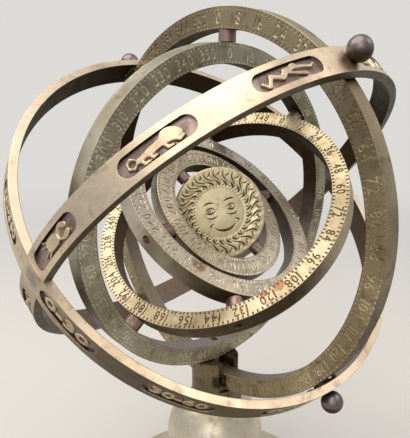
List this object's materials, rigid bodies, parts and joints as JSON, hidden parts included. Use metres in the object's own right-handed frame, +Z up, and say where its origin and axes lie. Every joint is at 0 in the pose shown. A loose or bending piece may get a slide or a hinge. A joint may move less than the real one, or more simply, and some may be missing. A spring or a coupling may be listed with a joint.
{
  "type": "armillary sphere",
  "caption": "Brass armillary sphere: tilting planet rings and a sun disc nested on pivots inside a cage of crossed bands, on a turned stand with a forked post.",
  "frame": {"origin": "point of the table straight under the sphere's centre, 2.8 mm to one side of the base's own axis", "axes": "+Z up along the stand; the outer ring stands in the XZ plane and the crossed bands meet near +Y and -Y"},
  "size_m": [0.1896, 0.2004, 0.2788],
  "materials": {
    "aged_brass": "aged, satin",
    "pin_brass": "worn, satin",
    "steel": "satin",
    "felt": "matt felt"
  },
  "bodies": {
    "stand_and_cage": {"base_plate": "aged_brass", "felt_ring": "felt", "knop": "aged_brass", "fork_post": "aged_brass", "tie_rod": "steel", "washer": "steel", "nut": "steel", "band_a": "aged_brass", "band_b": "aged_brass", "ring_1": "aged_brass", "finial_1": "pin_brass", "finial_2": "pin_brass", "finial_3": "pin_brass", "finial_4": "pin_brass", "pivot_12_a": "pin_brass", "pivot_12_b": "pin_brass", "fork_rivet": "aged_brass"},
    "second_ring": {"ring_2": "aged_brass", "pivot_23_a": "pin_brass", "pivot_23_b": "pin_brass"},
    "third_ring": {"ring_3": "aged_brass", "pivot_34_a": "pin_brass", "pivot_34_b": "pin_brass"},
    "fourth_ring": {"ring_4": "aged_brass", "pivot_45_a": "pin_brass", "pivot_45_b": "pin_brass"},
    "fifth_ring": {"ring_5": "aged_brass", "pivot_sun_a": "pin_brass", "pivot_sun_b": "pin_brass"},
    "sun": {"sun_disc": "aged_brass"}
  },
  "joints": [
    {"name": "second_ring_turn", "type": "hinge", "parent": "stand_and_cage", "child": "second_ring", "pos_m": [0, 0, 0.184], "axis": [0.0515, 0, 0.9987], "continuous": true},
    {"name": "third_ring_turn", "type": "hinge", "parent": "second_ring", "child": "third_ring", "pos_m": [0, 0, 0.184], "axis": [0.0549, 0.747, 0.6625], "continuous": true},
    {"name": "fourth_ring_turn", "type": "hinge", "parent": "third_ring", "child": "fourth_ring", "pos_m": [0, 0, 0.184], "axis": [-0.6806, 0.4677, 0.564], "continuous": true},
    {"name": "fifth_ring_turn", "type": "hinge", "parent": "fourth_ring", "child": "fifth_ring", "pos_m": [0, 0, 0.184], "axis": [-0.1663, 0.9847, 0.0522], "continuous": true},
    {"name": "sun_turn", "type": "hinge", "parent": "fifth_ring", "child": "sun", "pos_m": [0, 0, 0.184], "axis": [0.5729, 0.4543, -0.6822], "continuous": true}
  ]
}
